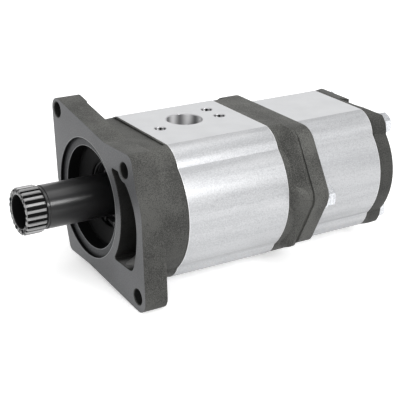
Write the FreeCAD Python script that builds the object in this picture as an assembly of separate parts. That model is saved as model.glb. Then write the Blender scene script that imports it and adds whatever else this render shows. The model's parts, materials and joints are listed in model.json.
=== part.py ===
import FreeCAD, Part
import math
import os

os.makedirs("parts", exist_ok=True)
V = FreeCAD.Vector

# Tandem external gear pump. Millimetres. X runs along the shafts, from the mounting face at x = 0 to the
# rear. Z is up. The drive shaft lies on the X axis, and both driven gears sit beside it towards -Y.

# Gears
tooth_count = 12
gear_module = 3.25
pressure_angle = math.radians(25)
tooth_backlash = 0.10
pitch_radius = tooth_count * gear_module / 2
tip_radius = pitch_radius + gear_module
root_radius = pitch_radius - 1.25 * gear_module
base_radius = pitch_radius * math.cos(pressure_angle)
driven_y = -2 * pitch_radius
tip_clearance = 0.03
chamber_radius = tip_radius + tip_clearance

# Lengths along the shafts
plate_thickness = 18.5
cover_length = 38.0
front_body_length = 87.3
cover_casting_length = 14.7
flange_casting_length = 13.5
rear_body_length = 67.0
end_cover_length = 14.0
front_body_start = cover_length
casting_start = front_body_start + front_body_length
flange_casting_start = casting_start + cover_casting_length
rear_body_start = flange_casting_start + flange_casting_length
end_cover_start = rear_body_start + rear_body_length
rear_face = end_cover_start + end_cover_length

# Clearances
side_gap = 0.05
journal_clearance = 0.04
press_gap = 0.02
bolt_clearance = 0.5
thread_gap = 0.03

# Body sections: flat top and bottom milled into four rounded shoulders, and a bulge at each side.
# half_flat and half_bulge are the distances of the shoulder and bulge centres from the section's middle.
# rise is how far the shoulders would stand above the milled flat.
front_section = dict(middle=-16.0, top=52.6, rise=0.5, half_flat=33.6, shoulder=22.3, half_bulge=17.5,
                     bulge=53.6)
rear_section = dict(middle=-20.0, top=50.2, rise=0.3, half_flat=26.5, shoulder=20.0, half_bulge=10.0,
                    bulge=49.3)
raised_section = dict(middle=-20.0, top=50.2, rise=0.0, half_flat=30.5, shoulder=17.0, half_bulge=10.0,
                      bulge=49.3)

# Mounting plate: corners as y, z, corner radius
plate_corners = [(58.5, 67.7, 9), (-29.5, 53.0, 8), (-69.8, 54.4, 8), (-76.4, 30.8, 36),
                 (-84.3, 17.0, 40), (-90.6, -61.9, 10), (-1.5, -54.2, 10), (31.8, -54.2, 5),
                 (51.3, 0.0, 12)]
plate_hole_radius = 6.0
plate_through_holes = [(48.5, 56.7), (-78.5, -49.7)]
plate_blind_hole = (-59.3, 40.8)
plate_blind_depth = 20.0
plate_pad_radius = 14.0
plate_pad_height = 1.2
neck_draft = 1.4
rim_thickness = 1.4
neck_top_drop = 0.5
neck_top_near = -54.0

# Recess in the mounting face, with the hub for the shaft seal behind it. The depths follow from the rear:
# the floor that carries the sleeve's bush, then the seal, its circlip and the cone of the locating bore.
step_radius = 46.6
step_depth = 3.0
pilot_radius = 40.0
pilot_corner = 2.0
hub_radius = 26.0
hub_floor = 8.0
hub_depth = cover_length - hub_floor
seal_length = 8.0
seal_back_gap = 1.4
seal_start = hub_depth - seal_back_gap - seal_length
circlip_thickness = 1.6
circlip_gap = 0.6
circlip_start = seal_start - circlip_gap - circlip_thickness
hub_mouth = 1.4
hub_mouth_step = 1.5
hub_cone_end = circlip_start - hub_mouth
hub_cone_length = 4.0
pilot_depth = hub_cone_end - hub_cone_length
pocket_depth = 26.0
pocket_inner_radius = 53.7
pocket_outer_radius = 43.5
pocket_outer_y = -34.0
pocket_outer_z = -2.5
pocket_lower_radius = 75.0
pocket_low_corner = 7.0
pocket_low = -33.5
pocket_high = 37.5
pocket_corner = 1.8
pocket_hole_wall = 3.0
pocket_boss_front = 1.5
pocket_boss_tip_radius = 3.0
pocket_boss_radius = 13.5
hole_chamfer = 0.6

# Drive sleeve
sleeve_radius = 16.7
sleeve_front = -56.0
sleeve_bore_radius = 12.5
sleeve_bore_depth = 66.0
sleeve_bore_chamfer = 0.8
sleeve_bore_chamfer_width = 1.8
drill_point_length = 4.0
drill_point_radius = 4.0
sleeve_edge = 0.6
spline_teeth = 22
spline_crest_radius = 18.0
spline_root_radius = 16.3
spline_length = 16.2
relief_length = 2.6
relief_radius = 15.9
spline_chamfer = 1.0

# Gear shafts and their bushes
journal_radius = 11.0
bush_wall = 2.5
bush_inset = 0.4
bush_bore_radius = journal_radius + journal_clearance
bush_radius = bush_bore_radius + bush_wall
front_gear_width = 35.0
rear_gear_width = 23.0
shaft_end_gap = 0.6
tang_half_width = 7.5
tang_gap = 0.1
tang_length = 9.0
sleeve_tang_length = 22.0

# Coupling between the two pumps
coupling_radius = 15.5
coupling_bore_radius = journal_radius + tang_gap
coupling_length = 24.0
coupling_start = casting_start + (rear_body_start - casting_start - coupling_length) / 2
coupling_room_radius = 16.3

# Bearing blocks: the seal in each back, and the relief in each face
block_seal_radius = 20.6
block_seal_width = 2.2
block_seal_thickness = 1.6
block_seal_top = -2.0
relief_half_width = 4.0
relief_low = 8.0
relief_depth = 3.0

# Intermediate castings: corners of the nearer half as y, z, corner radius
flange_half = [(-72.8, 52.2, 16), (-101.5, 5.5, 13), (-80.3, -37.7, 10), (-57.5, -46.5, 14)]
flare_half = [(-72.0, 52.2, 14), (-99.5, 5.0, 13), (-76.8, -41.5, 10), (-57.5, -50.5, 14)]
flange_middle = -20.0
flare_scale = 0.84
flare_lip = 2.5
casting_draw_back = 0.4
ear_bolt_y = -89.0
ear_bolt_z = 1.0
# the boss round each ear bolt: distance from the seam, centre y and radius
ear_boss = [(0.0, -78.5, 8.0), (5.0, -83.3, 10.2), (12.2, -87.0, 10.7)]
ear_boss_z = 4.0
flange_bevel = 0.8

# End cover: a thin base with the body's outline, and the raised part on it
end_cover_base = 3.5
crown_height = 1.2
crown_inset = 1.0
# the recess between the bolts, as y, z
end_notch = [(-17.0, 60.0), (-18.0, 41.0), (-31.0, 41.0), (-38.0, 48.0), (-38.0, 60.0)]
# the raised part slopes down towards the rear on both sides of the recess
corner_slope_y = -34.0
near_top_drop = 4.2
near_bottom_drop = 6.5
far_drop = 2.2

# Port on top, and the ports underneath
inlet_from_seam = 41.9
inlet_x = front_body_start + inlet_from_seam
inlet_y = -9.1
inlet_radius = 14.0
inlet_depth = 28.6
inlet_throat_radius = 11.0
inlet_screw_before = 27.6
inlet_screw_behind = 28.2
inlet_screw_last = 28.5
inlet_screws = [(inlet_x - inlet_screw_before, -20.0), (inlet_x + inlet_screw_behind, 3.7),
                (inlet_x + inlet_screw_last, -14.5)]
tapped_radius = 4.25
tapped_depth = 18.0
front_outlet_radius = 9.5
front_outlet_pattern = (22.2, 47.6)
rear_outlet_radius = 6.5
rear_outlet_pattern = (17.5, 38.1)
rear_tapped_radius = 3.4
outlet_depth = 26.0
gallery_radius = 5.0
gallery_y = driven_y / 2
gallery_z = 20.6
gallery_drop_radius = 6.0
chamber_reach = 8.0

# Screws, bolts, dowels and seals
bolt_radius = 5.0
thread_depth = 13.0
flange_thread_depth = 10.0
ear_thread_depth = 5.5
tip_gap = 0.5
bolt_chamfer = 1.0
hex_across_flats = 16.0
hex_head_height = 6.4
head_dome_height = 1.4
washer_radius = 9.5
ear_washer_radius = 9.0
washer_thickness = 2.0
washer_hole_gap = 0.3
socket_head_radius = 8.0
socket_head_height = 7.0
socket_head_sink = 0.5
socket_across_flats = 8.0
socket_depth = 4.0
head_room_radius = 8.6
dowel_radius = 2.5
dowel_length = 12.0
dowel_end_gap = 0.2
front_dowel_y = 61.0
rear_dowel_y = 54.9
ring_path_radius = 30.0
ring_depth = 1.8
ring_width = 2.2

# Each bolt stands off the seal's path: half the bolts' spacing across, and the land between the
# groove and the nearest bolt's hole
front_bolt_y = 40.0
front_bolt_land = 4.1
rear_bolt_y = 34.5
rear_bolt_land = 2.5


def beside_ring(offset, land):
    # the height of a bolt whose axis lies offset outside a shaft's axis
    reach = ring_path_radius + ring_width / 2 + land + bolt_clearance + bolt_radius
    return math.sqrt(reach ** 2 - offset ** 2)


front_bolt_z = beside_ring(driven_y - front_section["middle"] + front_bolt_y, front_bolt_land)
rear_bolt_z = beside_ring(rear_section["middle"] + rear_bolt_y, rear_bolt_land)


def both_sides(middle, reach, z):
    # four places, mirrored about the section's middle and about z = 0
    return [(middle + i * reach, j * z) for i in (-1, 1) for j in (1, -1)]


front_bolts = both_sides(front_section["middle"], front_bolt_y, front_bolt_z)
rear_bolts = both_sides(rear_section["middle"], rear_bolt_y, rear_bolt_z)
ear_bolts = [(ear_bolt_y, ear_bolt_z), (2 * flange_middle - ear_bolt_y, ear_bolt_z)]
front_dowels = [(front_section["middle"] + i * front_dowel_y, 0.0) for i in (-1, 1)]
rear_dowels = [(rear_section["middle"] + i * rear_dowel_y, 0.0) for i in (-1, 1)]

# Shaft seal, its circlip and the sleeve's bush
seal_gap = 0.04
seal_skin = 2.2
seal_lip_reach = 2.4
seal_lip_thickness = 1.2
circlip_depth = 1.3
circlip_width = 2.8
circlip_mouth = 7.0
circlip_lug_radius = 2.6
circlip_eye_radius = 1.0
sleeve_bush_wall = 2.8
sleeve_bush_gap = 0.2
sleeve_end = cover_length - shaft_end_gap


def cylinder_x(start, end, y, z, radius):
    return Part.makeCylinder(radius, end - start, V(start, y, z), V(1, 0, 0))


def cylinder_z(x, y, low, high, radius):
    return Part.makeCylinder(radius, high - low, V(x, y, low), V(0, 0, 1))


def box(x0, x1, y0, y1, z0, z1):
    return Part.makeBox(x1 - x0, y1 - y0, z1 - z0, V(x0, y0, z0))


def lathe(points, y=0.0, z=0.0):
    # points are x, radius
    corners = [V(x, y + radius, z) for x, radius in points]
    face = Part.Face(Part.makePolygon(corners + corners[:1]))
    return face.revolve(V(0, y, z), V(1, 0, 0), 360)


def on_circle(y, z, radius, angle):
    return (y + radius * math.cos(angle), z + radius * math.sin(angle))


def arc(x, centre_y, centre_z, radius, start, end):
    # an arc in the plane x, from angle to angle
    middle = (start + end) / 2
    a = on_circle(centre_y, centre_z, radius, start)
    b = on_circle(centre_y, centre_z, radius, middle)
    c = on_circle(centre_y, centre_z, radius, end)
    return Part.Arc(V(x, a[0], a[1]), V(x, b[0], b[1]), V(x, c[0], c[1])).toShape()


def line(x, start, end):
    return Part.LineSegment(V(x, *start), V(x, *end)).toShape()


def circles_meet(y1, z1, r1, y2, z2, r2):
    # the outer crossing of two circles, the one furthest towards +Y
    distance = math.hypot(y2 - y1, z2 - z1)
    along = (r1 * r1 - r2 * r2 + distance * distance) / (2 * distance)
    across = math.sqrt(max(r1 * r1 - along * along, 0.0))
    uy = (y2 - y1) / distance
    uz = (z2 - z1) / distance
    one = (y1 + along * uy - across * uz, z1 + along * uz + across * uy)
    two = (y1 + along * uy + across * uz, z1 + along * uz - across * uy)
    return max(one, two)


def section_wire(x, s, grow=0.0):
    # a body's outline in the plane x, offset outwards by grow
    middle = s["middle"]
    half_flat = s["half_flat"]
    half_bulge = s["half_bulge"]
    top = s["top"] + grow
    shoulder = s["shoulder"] + grow
    bulge = s["bulge"] + grow
    shoulder_z = top + s["rise"] - shoulder
    crease = math.asin(1 - s["rise"] / shoulder)
    meet = circles_meet(half_flat, shoulder_z, shoulder, half_bulge, 0.0, bulge)
    to_shoulder = math.atan2(meet[1] - shoulder_z, meet[0] - half_flat)
    to_bulge = math.atan2(meet[1], meet[0] - half_bulge)
    half_turn = math.pi
    near = middle - half_flat
    far = middle + half_flat
    near_edge = near - shoulder * math.cos(crease)
    far_edge = far + shoulder * math.cos(crease)
    edges = []
    edges.append(line(x, (far_edge, top), (near_edge, top)))
    edges.append(arc(x, near, shoulder_z, shoulder, half_turn - crease, half_turn - to_shoulder))
    edges.append(arc(x, middle - half_bulge, 0, bulge, half_turn - to_bulge, half_turn + to_bulge))
    edges.append(arc(x, near, -shoulder_z, shoulder, half_turn + to_shoulder, half_turn + crease))
    edges.append(line(x, (near_edge, -top), (far_edge, -top)))
    edges.append(arc(x, far, -shoulder_z, shoulder, -crease, -to_shoulder))
    edges.append(arc(x, middle + half_bulge, 0, bulge, -to_bulge, to_bulge))
    edges.append(arc(x, far, shoulder_z, shoulder, to_shoulder, crease))
    return Part.Wire(edges)


def section_prism(start, end, s, grow=0.0):
    return Part.Face(section_wire(start, s, grow)).extrude(V(end - start, 0, 0))


def whole(half, middle):
    # the corners of a half outline and of its mirror image
    return half + [(2 * middle - y, z, r) for y, z, r in reversed(half)]


def rounded_wire(x, corners, scale=1.0, middle=0.0):
    # a closed outline in the plane x with its corners rounded
    points = [(middle + (y - middle) * scale, z * scale, r * scale) for y, z, r in corners]
    spans = []
    for i, (y, z, radius) in enumerate(points):
        before = points[i - 1]
        after = points[(i + 1) % len(points)]
        a = V(0, before[0] - y, before[1] - z)
        b = V(0, after[0] - y, after[1] - z)
        a.normalize()
        b.normalize()
        half = a.getAngle(b) / 2
        reach = radius / math.tan(half)
        bisector = a + b
        bisector.normalize()
        corner = V(x, y, z)
        centre_point = corner + bisector * (radius / math.sin(half))
        start = corner + a * reach
        end = corner + b * reach
        spans.append((start, centre_point - bisector * radius, end))
    edges = []
    for i, (start, middle, end) in enumerate(spans):
        edges.append(Part.Arc(start, middle, end).toShape())
        edges.append(Part.LineSegment(end, spans[(i + 1) % len(spans)][0]).toShape())
    return Part.Wire(edges)


def rounded_prism(start, end, corners):
    return Part.Face(rounded_wire(start, corners)).extrude(V(end - start, 0, 0))


def cut_all(shape, tools):
    return shape.cut(Part.makeCompound(tools))


def fuse_all(shapes):
    return shapes[0].multiFuse(shapes[1:]).removeSplitter()


def countersink_z(x, y, mouth, radius, towards):
    # a small cone that breaks the edge of a hole at the face z = mouth
    reach = hole_chamfer + 0.1
    low = V(x, y, mouth + towards * 0.1)
    return Part.makeCone(radius + reach, radius, reach, low, V(0, 0, -towards))


def countersink_x(y, z, mouth, radius, towards):
    reach = hole_chamfer + 0.1
    return Part.makeCone(radius + reach, radius, reach, V(mouth + towards * 0.1, y, z), V(-towards, 0, 0))


def figure_eight(start, end, radius):
    one = cylinder_x(start, end, 0, 0, radius)
    two = cylinder_x(start, end, driven_y, 0, radius)
    return one.fuse(two)


def stadium_wire(x, radius):
    up = math.pi / 2
    edges = []
    edges.append(arc(x, 0, 0, radius, -up, up))
    edges.append(line(x, (0, radius), (driven_y, radius)))
    edges.append(arc(x, driven_y, 0, radius, up, 3 * up))
    edges.append(line(x, (driven_y, -radius), (0, -radius)))
    return Part.Wire(edges)


def stadium_ring(start, end, inner, outer):
    big = Part.Face(stadium_wire(start, outer)).extrude(V(end - start, 0, 0))
    small = Part.Face(stadium_wire(start, inner)).extrude(V(end - start, 0, 0))
    return big.cut(small)


def ring_groove(face, towards):
    # the groove for a body seal, sunk into a cover from its joint face
    edge = face + towards * ring_depth
    start = min(face, edge)
    end = max(face, edge)
    return stadium_ring(start, end, ring_path_radius - ring_width / 2, ring_path_radius + ring_width / 2)


def body_seal(face, towards):
    # a square-section ring, fitted in its groove
    edge = face + towards * (ring_depth - press_gap)
    half = ring_width / 2 - press_gap
    return stadium_ring(min(face, edge), max(face, edge), ring_path_radius - half, ring_path_radius + half)


def dowel_holes(face, places):
    depth = dowel_length / 2 + dowel_end_gap
    return [cylinder_x(face - depth, face + depth, y, z, dowel_radius + press_gap) for y, z in places]


def through_holes(start, end, places, radius):
    return [cylinder_x(start, end, y, z, radius) for y, z in places]


# Mounting cover
def pocket_tool():
    # the open casting pocket beside the locating bore, with bosses left round the screws and the stud hole
    outer_wall = pocket_outer_y - pocket_outer_radius
    upper = cylinder_x(-1, pocket_depth, pocket_outer_y, pocket_outer_z, pocket_outer_radius)
    upper = upper.common(box(-1, pocket_depth, outer_wall, -hub_radius, pocket_outer_z, pocket_high))
    lower = cylinder_x(-1, pocket_depth, outer_wall + pocket_lower_radius, pocket_outer_z, pocket_lower_radius)
    lower = lower.common(box(-1, pocket_depth, outer_wall, -hub_radius, pocket_low, pocket_outer_z))
    outline = upper.fuse(lower).removeSplitter()
    lowest = [edge for edge in outline.Edges if abs(edge.BoundBox.ZMax - pocket_low) < 1e-6]
    corner = min(lowest, key=lambda edge: edge.BoundBox.YMax)
    outline = outline.makeFillet(pocket_low_corner, [corner])
    hole_boss = plate_hole_radius + pocket_hole_wall
    bosses = [cylinder_x(-1, pocket_depth, 0, 0, pocket_inner_radius),
              cylinder_x(-1, pocket_depth, plate_blind_hole[0], plate_blind_hole[1], hole_boss)]
    outline = cut_all(outline, bosses)
    front = max(outline.Faces, key=lambda face: face.Area * (abs(face.CenterOfMass.x + 1) < 1e-6))
    rounded = front.makeOffset2D(-pocket_corner).makeOffset2D(pocket_corner)
    pocket = rounded.extrude(V(pocket_depth + 1, 0, 0))
    boss_length = pocket_depth - pocket_boss_front
    cones = [Part.makeCone(pocket_boss_tip_radius, pocket_boss_radius, boss_length,
                           V(pocket_boss_front, y, z), V(1, 0, 0)) for y, z in front_bolts[:2]]
    return cut_all(pocket, cones)


def make_front_cover():
    plate = rounded_prism(0, plate_thickness, plate_corners)
    neck_start = plate_thickness - side_gap
    neck = Part.makeLoft([section_wire(neck_start, front_section, -neck_draft),
                          section_wire(cover_length, front_section, -casting_draw_back)], True, True)
    top = front_section["top"]
    neck = neck.cut(box(0, cover_length - rim_thickness, neck_top_near, front_section["bulge"] + top,
                        top - neck_draft - neck_top_drop, top + 1))
    pad_end = plate_thickness + plate_pad_height
    pad = cylinder_x(0, pad_end, plate_through_holes[0][0], plate_through_holes[0][1], plate_pad_radius)
    pad = pad.common(rounded_prism(plate_thickness / 2, pad_end, plate_corners))
    cover = fuse_all([plate, neck, pad])
    cuts = []
    recess = [(-1, 0), (-1, step_radius), (step_depth, step_radius), (step_depth, pilot_radius),
              (pilot_depth, pilot_radius), (pilot_depth, pilot_radius - pilot_corner),
              (hub_cone_end, hub_radius + hub_mouth_step),
              (hub_cone_end, hub_radius), (hub_depth, hub_radius), (hub_depth, 0)]
    cuts.append(lathe(recess))
    bush_seat = sleeve_radius + journal_clearance + sleeve_bush_wall + press_gap
    cuts.append(cylinder_x(hub_depth - 1, cover_length + 1, 0, 0, bush_seat))
    groove_end = circlip_start + circlip_thickness + side_gap * 2
    cuts.append(cylinder_x(circlip_start, groove_end, 0, 0, hub_radius + circlip_depth))
    cuts.append(pocket_tool())
    cuts += through_holes(-1, pad_end + 1, plate_through_holes, plate_hole_radius)
    cuts += through_holes(-1, plate_blind_depth, [plate_blind_hole], plate_hole_radius)
    for y, z in plate_through_holes + [plate_blind_hole]:
        cuts.append(countersink_x(y, z, 0, plate_hole_radius, -1))
    cuts += through_holes(cover_length - thread_depth - tip_gap, cover_length + 1, front_bolts,
                          bolt_radius + thread_gap)
    cuts += dowel_holes(cover_length, front_dowels)
    cuts.append(ring_groove(cover_length, -1))
    return cut_all(cover, cuts)


def make_shaft_seal():
    # a lip seal: the case with its closed back to the rear, and the lip that leans forwards
    inner = sleeve_radius + seal_gap
    outer = hub_radius - press_gap
    end = seal_start + seal_length
    skin = end - seal_skin
    lip = seal_start + seal_lip_reach
    thick = seal_lip_thickness
    points = [(seal_start, outer), (end, outer), (end, inner + thick), (skin, inner + thick),
              (lip + thick, inner), (lip, inner), (lip - thick, inner + thick),
              (lip - thick, inner + 2 * thick),
              (skin, inner + 3 * thick), (skin, outer - seal_skin), (seal_start, outer - seal_skin)]
    return lathe(points)


def make_seal_circlip():
    # a ring open at the bottom, with an eye at each end
    outer = hub_radius + circlip_depth - side_gap * 2
    start = circlip_start + side_gap
    end = start + circlip_thickness
    ring = cylinder_x(start, end, 0, 0, outer)
    ring = ring.cut(cylinder_x(start - 1, end + 1, 0, 0, outer - circlip_width))
    ring = ring.cut(box(start - 1, end + 1, -circlip_mouth, circlip_mouth, -outer - 1, 0))
    lug_z = circlip_lug_radius + circlip_width / 2 - outer
    lug_y = circlip_mouth + circlip_lug_radius - circlip_eye_radius
    lugs = []
    eyes = []
    for y in (-lug_y, lug_y):
        lugs.append(cylinder_x(start, end, y, lug_z, circlip_lug_radius))
        eyes.append(cylinder_x(start - 1, end + 1, y, lug_z, circlip_eye_radius))
    return cut_all(fuse_all([ring] + lugs), eyes)


def make_sleeve_bush():
    inner = sleeve_radius + journal_clearance
    start = hub_depth + sleeve_bush_gap
    end = cover_length - sleeve_bush_gap
    return cylinder_x(start, end, 0, 0, inner + sleeve_bush_wall).cut(cylinder_x(start, end, 0, 0, inner))


# Toothed outlines
def spline_wire(x):
    edges = []
    pitch = 2 * math.pi / spline_teeth
    crest_half = 0.17 * pitch
    root_half = 0.20 * pitch
    for i in range(spline_teeth):
        centre = i * pitch
        start = on_circle(0, 0, spline_root_radius, centre - pitch / 2 + root_half)
        rise = on_circle(0, 0, spline_crest_radius, centre - crest_half)
        fall = on_circle(0, 0, spline_crest_radius, centre + crest_half)
        end = on_circle(0, 0, spline_root_radius, centre + pitch / 2 - root_half)
        edges.append(line(x, start, rise))
        edges.append(arc(x, 0, 0, spline_crest_radius, centre - crest_half, centre + crest_half))
        edges.append(line(x, fall, end))
        edges.append(arc(x, 0, 0, spline_root_radius, centre + pitch / 2 - root_half,
                         centre + pitch / 2 + root_half))
    return Part.Wire(edges)


def involute(angle):
    return math.tan(angle) - angle


def flank_points(y, x, tooth_angle, side, steps=5):
    # points from the base circle to the tip, on one flank of the tooth at tooth_angle
    half = math.pi / (2 * tooth_count) - tooth_backlash / (4 * pitch_radius) + involute(pressure_angle)
    points = []
    for i in range(steps + 1):
        radius = base_radius + (tip_radius - base_radius) * (i / steps) ** 1.5
        turn = half - involute(math.acos(min(1.0, base_radius / radius)))
        p = on_circle(y, 0, radius, tooth_angle + side * turn)
        points.append(V(x, p[0], p[1]))
    return points


def gear_wire(x, y, first_tooth):
    edges = []
    pitch = 2 * math.pi / tooth_count
    for i in range(tooth_count):
        centre = first_tooth + i * pitch
        rising = flank_points(y, x, centre, -1)
        falling = flank_points(y, x, centre, 1)
        falling.reverse()
        low_start = math.atan2(rising[0].z, rising[0].y - y)
        low_end = math.atan2(falling[-1].z, falling[-1].y - y)
        tip_start = math.atan2(rising[-1].z, rising[-1].y - y)
        tip_end = math.atan2(falling[0].z, falling[0].y - y)
        if tip_end < tip_start:
            tip_end += 2 * math.pi
        root_a = on_circle(y, 0, root_radius, low_start)
        root_b = on_circle(y, 0, root_radius, low_end)
        gap = pitch - ((low_end - low_start) % (2 * math.pi))
        edges.append(Part.LineSegment(V(x, *root_a), rising[0]).toShape())
        curve = Part.BSplineCurve()
        curve.interpolate(rising)
        edges.append(curve.toShape())
        edges.append(arc(x, y, 0, tip_radius, tip_start, tip_end))
        curve = Part.BSplineCurve()
        curve.interpolate(falling)
        edges.append(curve.toShape())
        edges.append(Part.LineSegment(falling[-1], V(x, *root_b)).toShape())
        edges.append(arc(x, y, 0, root_radius, low_end, low_end + gap))
    return Part.Wire(edges)


def gear_prism(start, end, y, first_tooth):
    return Part.Face(gear_wire(start, y, first_tooth)).extrude(V(end - start, 0, 0))


def tang(start, end, radius, half_width):
    bar = cylinder_x(start, end, 0, 0, radius)
    return bar.common(box(start - 1, end + 1, -radius - 1, radius + 1, -half_width, half_width))


# Drive line
def make_drive_sleeve():
    spline_end = sleeve_front + spline_length
    teeth = Part.Face(spline_wire(sleeve_front)).extrude(V(spline_length, 0, 0))
    crest = spline_crest_radius + 1
    envelope = lathe([(sleeve_front, 0), (sleeve_front, spline_crest_radius - spline_chamfer),
                      (sleeve_front + spline_chamfer, spline_crest_radius),
                      (sleeve_front + spline_chamfer, crest), (spline_end - 2.0, crest),
                      (spline_end - 2.0, spline_crest_radius), (spline_end, spline_root_radius),
                      (spline_end, 0)])
    teeth = teeth.common(envelope)
    tube = lathe([(spline_end - 0.5, 0), (spline_end - 0.5, relief_radius),
                  (spline_end + relief_length, relief_radius),
                  (spline_end + relief_length, sleeve_radius - 0.3),
                  (spline_end + relief_length + 0.3, sleeve_radius),
                  (sleeve_end - sleeve_edge, sleeve_radius), (sleeve_end, sleeve_radius - sleeve_edge),
                  (sleeve_end, 0)])
    sleeve = fuse_all([teeth, tube])
    bore_end = sleeve_front + sleeve_bore_depth
    mouth = sleeve_front + sleeve_bore_chamfer
    bore = lathe([(sleeve_front - 1, 0), (sleeve_front - 1, sleeve_bore_radius + sleeve_bore_chamfer_width),
                  (mouth, sleeve_bore_radius), (bore_end, sleeve_bore_radius),
                  (bore_end + drill_point_length, drill_point_radius), (bore_end + drill_point_length, 0)])
    socket = tang(bore_end - 1, sleeve_end + 1, coupling_bore_radius, tang_half_width + tang_gap)
    return cut_all(sleeve, [bore, socket])


def gear_shaft(body_start, body_length, width, y, first_tooth, front_tang, rear_tang):
    end = body_start + body_length
    gear_start = body_start + (body_length - width) / 2
    shaft_start = body_start + shaft_end_gap
    shaft_end = end - shaft_end_gap
    shapes = [gear_prism(gear_start, gear_start + width, y, first_tooth)]
    shapes.append(cylinder_x(shaft_start, shaft_end, y, 0, journal_radius))
    if front_tang:
        shapes.append(tang(body_start - front_tang, shaft_start + 1, journal_radius, tang_half_width))
    if rear_tang:
        shapes.append(tang(shaft_end - 1, end + rear_tang, journal_radius, tang_half_width))
    return fuse_all(shapes)


def make_coupling():
    end = coupling_start + coupling_length
    sleeve = cylinder_x(coupling_start, end, 0, 0, coupling_radius)
    return sleeve.cut(tang(coupling_start - 1, end + 1, coupling_bore_radius, tang_half_width + tang_gap))


# Bodies
def tapped_pattern(x, y, pattern, radius, face_z):
    holes = []
    for i in (-1, 1):
        for j in (-1, 1):
            hole_x = x + i * pattern[0] / 2
            hole_y = y + j * pattern[1] / 2
            holes.append(cylinder_z(hole_x, hole_y, face_z, face_z + tapped_depth, radius))
            holes.append(countersink_z(hole_x, hole_y, face_z, radius, -1))
    return holes


def make_front_body():
    s = front_section
    start = front_body_start
    end = casting_start
    middle = (start + end) / 2
    body = section_prism(start, end, s)
    cuts = [figure_eight(start - 1, end + 1, chamber_radius)]
    top = s["top"]
    cuts.append(cylinder_z(inlet_x, inlet_y, top - inlet_depth, top + 1, inlet_radius))
    cuts.append(cylinder_z(inlet_x, inlet_y, chamber_reach, top, inlet_throat_radius))
    cuts.append(countersink_z(inlet_x, inlet_y, top, inlet_radius, 1))
    for x, y in inlet_screws:
        cuts.append(cylinder_z(x, y, top - tapped_depth, top + 1, tapped_radius))
        cuts.append(countersink_z(x, y, top, tapped_radius, 1))
    cuts.append(cylinder_z(middle, driven_y / 2, -top - 1, -top + outlet_depth, front_outlet_radius))
    cuts.append(cylinder_z(middle, driven_y / 2, -top, -chamber_reach, front_outlet_radius - 2))
    cuts += tapped_pattern(middle, driven_y / 2, front_outlet_pattern, tapped_radius, -top)
    cuts.append(cylinder_x(inlet_x, end + 1, gallery_y, gallery_z, gallery_radius))
    cuts += through_holes(start - 1, end + 1, front_bolts, bolt_radius + bolt_clearance)
    cuts += dowel_holes(start, front_dowels)
    cuts += dowel_holes(end, front_dowels)
    return cut_all(body, cuts)


def make_rear_body():
    s = rear_section
    start = rear_body_start
    end = end_cover_start
    middle = (start + end) / 2
    body = section_prism(start, end, s)
    cuts = [figure_eight(start - 1, end + 1, chamber_radius)]
    top = s["top"]
    cuts.append(cylinder_z(middle, driven_y / 2, -top - 1, -top + outlet_depth, rear_outlet_radius))
    cuts.append(cylinder_z(middle, driven_y / 2, -top, -chamber_reach, rear_outlet_radius - 1))
    cuts += tapped_pattern(middle, driven_y / 2, rear_outlet_pattern, rear_tapped_radius, -top)
    cuts.append(cylinder_x(start - 1, middle, gallery_y, gallery_z, gallery_radius))
    cuts.append(cylinder_z(middle, gallery_y, chamber_reach, gallery_z, gallery_drop_radius))
    cuts += through_holes(start - 1, end + 1, rear_bolts, bolt_radius + bolt_clearance)
    cuts += dowel_holes(start, rear_dowels)
    cuts += dowel_holes(end, rear_dowels)
    return cut_all(body, cuts)


# Intermediate castings and end cover
def make_ear_boss(mirrored):
    rings = []
    for reach, y, radius in ear_boss:
        centre_y = 2 * flange_middle - y if mirrored else y
        centre = V(casting_start + reach, centre_y, ear_boss_z)
        rings.append(Part.Wire(Part.makeCircle(radius, centre, V(1, 0, 0))))
    return Part.makeLoft(rings, True, True)


def make_intermediate_cover():
    start = casting_start
    end = flange_casting_start
    lip_start = end - flare_lip
    neck = section_prism(start, end, front_section, -casting_draw_back)
    small = rounded_wire(start, whole(flare_half, flange_middle), flare_scale, flange_middle)
    large = rounded_wire(lip_start, whole(flare_half, flange_middle))
    flare = Part.makeLoft([small, large], True, True)
    lip = rounded_prism(lip_start, end, whole(flare_half, flange_middle))
    cover = fuse_all([neck, flare, lip, make_ear_boss(False), make_ear_boss(True)])
    cuts = []
    cuts.append(cylinder_x(start - 1, end + 1, 0, 0, coupling_room_radius))
    cuts += through_holes(start - 1, end + 1, front_bolts, bolt_radius + bolt_clearance)
    head_room = end - socket_head_height - socket_head_sink
    cuts += through_holes(head_room, end + 1, front_bolts, head_room_radius)
    cuts += through_holes(end - ear_thread_depth - tip_gap, end + 1, ear_bolts, bolt_radius + thread_gap)
    cuts.append(cylinder_x(start - 1, end + 1, gallery_y, gallery_z, gallery_radius))
    cuts += dowel_holes(start, front_dowels)
    cuts.append(ring_groove(start, 1))
    return cut_all(cover, cuts)


def make_rear_flange():
    start = flange_casting_start
    end = rear_body_start
    corners = whole(flange_half, flange_middle)
    flat = rounded_prism(start, end - flange_bevel, corners)
    shrink = 1 - flange_bevel / (flange_middle - flange_half[1][0])
    edge = Part.makeLoft([rounded_wire(end - flange_bevel, corners),
                          rounded_wire(end, corners, shrink, flange_middle)], True, True)
    plate = fuse_all([flat, edge])
    cuts = []
    cuts.append(cylinder_x(start - 1, end + 1, 0, 0, coupling_room_radius))
    cuts += through_holes(start - 1, end + 1, ear_bolts, bolt_radius + bolt_clearance)
    thread_end = end - flange_thread_depth - tip_gap
    cuts += through_holes(thread_end, end + 1, rear_bolts, bolt_radius + thread_gap)
    cuts.append(cylinder_x(start - 1, end + 1, gallery_y, gallery_z, gallery_radius))
    cuts += dowel_holes(end, rear_dowels)
    cuts.append(ring_groove(start, 1))
    cuts.append(ring_groove(end, -1))
    return cut_all(plate, cuts)


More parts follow.
